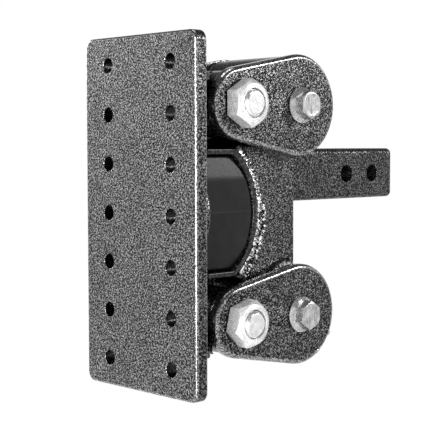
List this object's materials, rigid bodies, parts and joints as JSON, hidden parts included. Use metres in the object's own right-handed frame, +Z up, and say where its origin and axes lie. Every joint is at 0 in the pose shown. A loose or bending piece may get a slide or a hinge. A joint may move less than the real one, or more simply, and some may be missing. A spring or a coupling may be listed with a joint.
{
  "type": "receiver hitch",
  "caption": "Receiver hitch whose tall drilled mounting plate rides on rubber-sprung parallel links, with a square shank and a rubber cushion.",
  "frame": {"origin": "centre of the mounting plate's front face, where a coupler bolts on", "axes": "+X from the plate towards the truck, along the shank; +Z up, along the plate's long side; -Y is the side with the lock nuts"},
  "size_m": [0.325, 0.1524, 0.3174],
  "materials": {
    "powder_coat": "black and silver hammertone powder coat",
    "zinc": "bright zinc plating",
    "rubber": "moulded, satin",
    "axle_steel": "turned steel",
    "bushing": "oiled bronze",
    "washer_plastic": "natural nylon"
  },
  "bodies": {
    "truck_frame": {"shank": "powder_coat", "side_plate_near": "powder_coat", "side_plate_far": "powder_coat", "frame_rear_plate": "powder_coat", "torsion_barrel_top": "powder_coat", "torsion_barrel_bottom": "powder_coat", "torsion_rubber_top": "rubber", "torsion_rubber_bottom": "rubber", "cushion_cup": "powder_coat", "rubber_cushion": "rubber", "cushion_washer": "zinc", "cushion_screw": "zinc"},
    "top_link": {"top_link_near": "powder_coat", "top_link_far": "powder_coat", "top_axle": "axle_steel", "top_flange_bolt_near": "zinc", "top_flange_bolt_far": "zinc", "top_bolt_washer": "zinc", "top_pivot_bolt": "zinc", "top_lock_nut": "zinc"},
    "bottom_link": {"bottom_link_near": "powder_coat", "bottom_link_far": "powder_coat", "bottom_axle": "axle_steel", "bottom_flange_bolt_near": "zinc", "bottom_flange_bolt_far": "zinc", "bottom_bolt_washer": "zinc", "bottom_pivot_bolt": "zinc", "bottom_lock_nut": "zinc"},
    "plate_carrier": {"mounting_plate": "powder_coat", "bracket_ear_near": "powder_coat", "bracket_ear_far": "powder_coat", "plate_gusset_top": "powder_coat", "plate_gusset_bottom": "powder_coat", "strike_disc": "powder_coat", "pivot_barrel_top": "powder_coat", "pivot_barrel_bottom": "powder_coat", "pivot_bushing_top_near": "bushing", "pivot_bushing_top_far": "bushing", "pivot_bushing_bottom_near": "bushing", "pivot_bushing_bottom_far": "bushing", "thrust_washer_top_near": "washer_plastic", "thrust_washer_top_far": "washer_plastic", "thrust_washer_bottom_near": "washer_plastic", "thrust_washer_bottom_far": "washer_plastic"}
  },
  "joints": [
    {"name": "top_link_swing", "type": "hinge", "parent": "truck_frame", "child": "top_link", "pos_m": [0.152, 0, 0.0984], "axis": [0, 1, 0], "range_deg": [-6, 6], "stiffness_Nm_per_rad": 2500},
    {"name": "plate_pivot", "type": "hinge", "parent": "top_link", "child": "plate_carrier", "pos_m": [0.0745, 0, 0.0984], "axis": [0, 1, 0], "range_deg": [-6, 6]},
    {"name": "bottom_link_swing", "type": "hinge", "parent": "truck_frame", "child": "bottom_link", "pos_m": [0.152, 0, -0.0984], "axis": [0, 1, 0], "range_deg": [-6, 6]}
  ],
  "couplings": [
    {"joint": "plate_pivot", "follows": "top_link_swing", "ratio": -1},
    {"joint": "bottom_link_swing", "follows": "top_link_swing", "ratio": 1}
  ]
}
